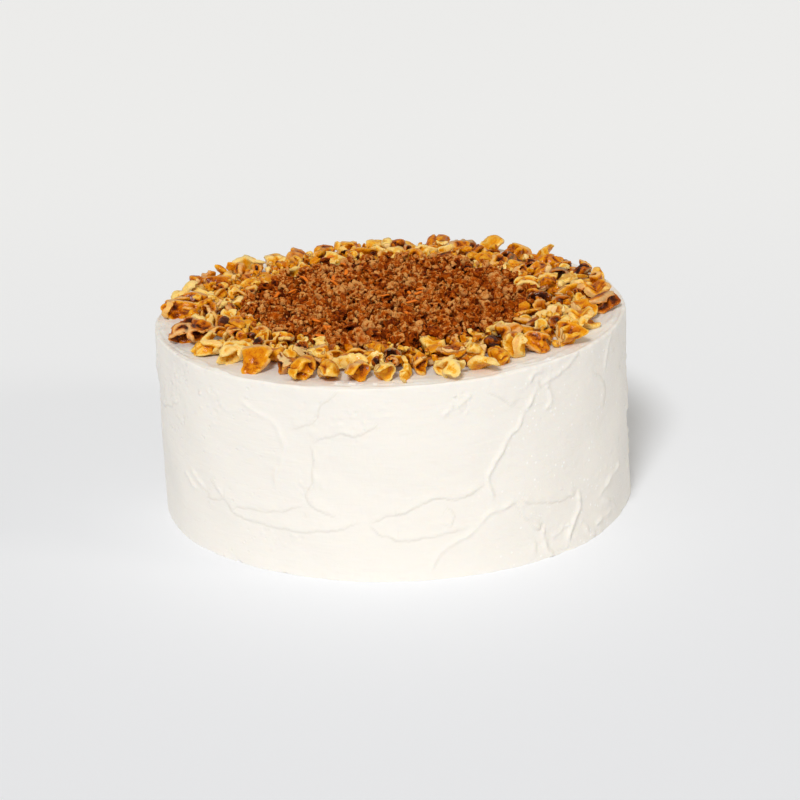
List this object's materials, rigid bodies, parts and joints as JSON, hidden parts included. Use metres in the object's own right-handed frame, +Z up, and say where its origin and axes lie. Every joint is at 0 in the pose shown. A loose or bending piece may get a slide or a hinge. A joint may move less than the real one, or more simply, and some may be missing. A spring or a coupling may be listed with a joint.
{
  "type": "frosted layer cake",
  "caption": "Round frosted cake, uncut, with a ring of chopped walnuts round a bed of loose cake crumbs on top.",
  "frame": {"origin": "centre of the flat foot, on the plane that the cake stands on", "axes": "+Z up out of the top; the front of the cake faces -Y, with +X to its right"},
  "size_m": [0.2032, 0.2024, 0.0937],
  "materials": {
    "frosting": "satin off-white buttercream, smoothed with a spatula",
    "crumb": "moist orange-brown cake crumb",
    "walnut": "glossy toasted walnut, from cream to amber and dark brown"
  },
  "bodies": {
    "root": {"frosted_cake": "frosting", "crumb_heap": "crumb", "walnut_heap": "walnut", "walnut_01": "walnut", "walnut_02": "walnut", "walnut_03": "walnut", "walnut_04": "walnut", "walnut_05": "walnut", "walnut_06": "walnut", "walnut_07": "walnut", "walnut_08": "walnut", "walnut_09": "walnut", "walnut_10": "walnut", "walnut_11": "walnut", "walnut_12": "walnut", "walnut_13": "walnut", "walnut_14": "walnut", "walnut_15": "walnut", "walnut_16": "walnut", "walnut_17": "walnut", "walnut_18": "walnut", "walnut_19": "walnut", "walnut_20": "walnut", "walnut_21": "walnut", "walnut_22": "walnut", "walnut_23": "walnut", "walnut_24": "walnut", "walnut_25": "walnut", "walnut_26": "walnut", "walnut_27": "walnut", "walnut_28": "walnut", "walnut_29": "walnut", "walnut_30": "walnut", "walnut_31": "walnut", "walnut_32": "walnut", "walnut_33": "walnut", "walnut_34": "walnut", "walnut_35": "walnut", "walnut_36": "walnut", "walnut_37": "walnut", "walnut_38": "walnut", "walnut_39": "walnut", "walnut_40": "walnut", "walnut_41": "walnut", "walnut_42": "walnut", "walnut_43": "walnut", "walnut_44": "walnut", "walnut_45": "walnut"}
  },
  "joints": []
}
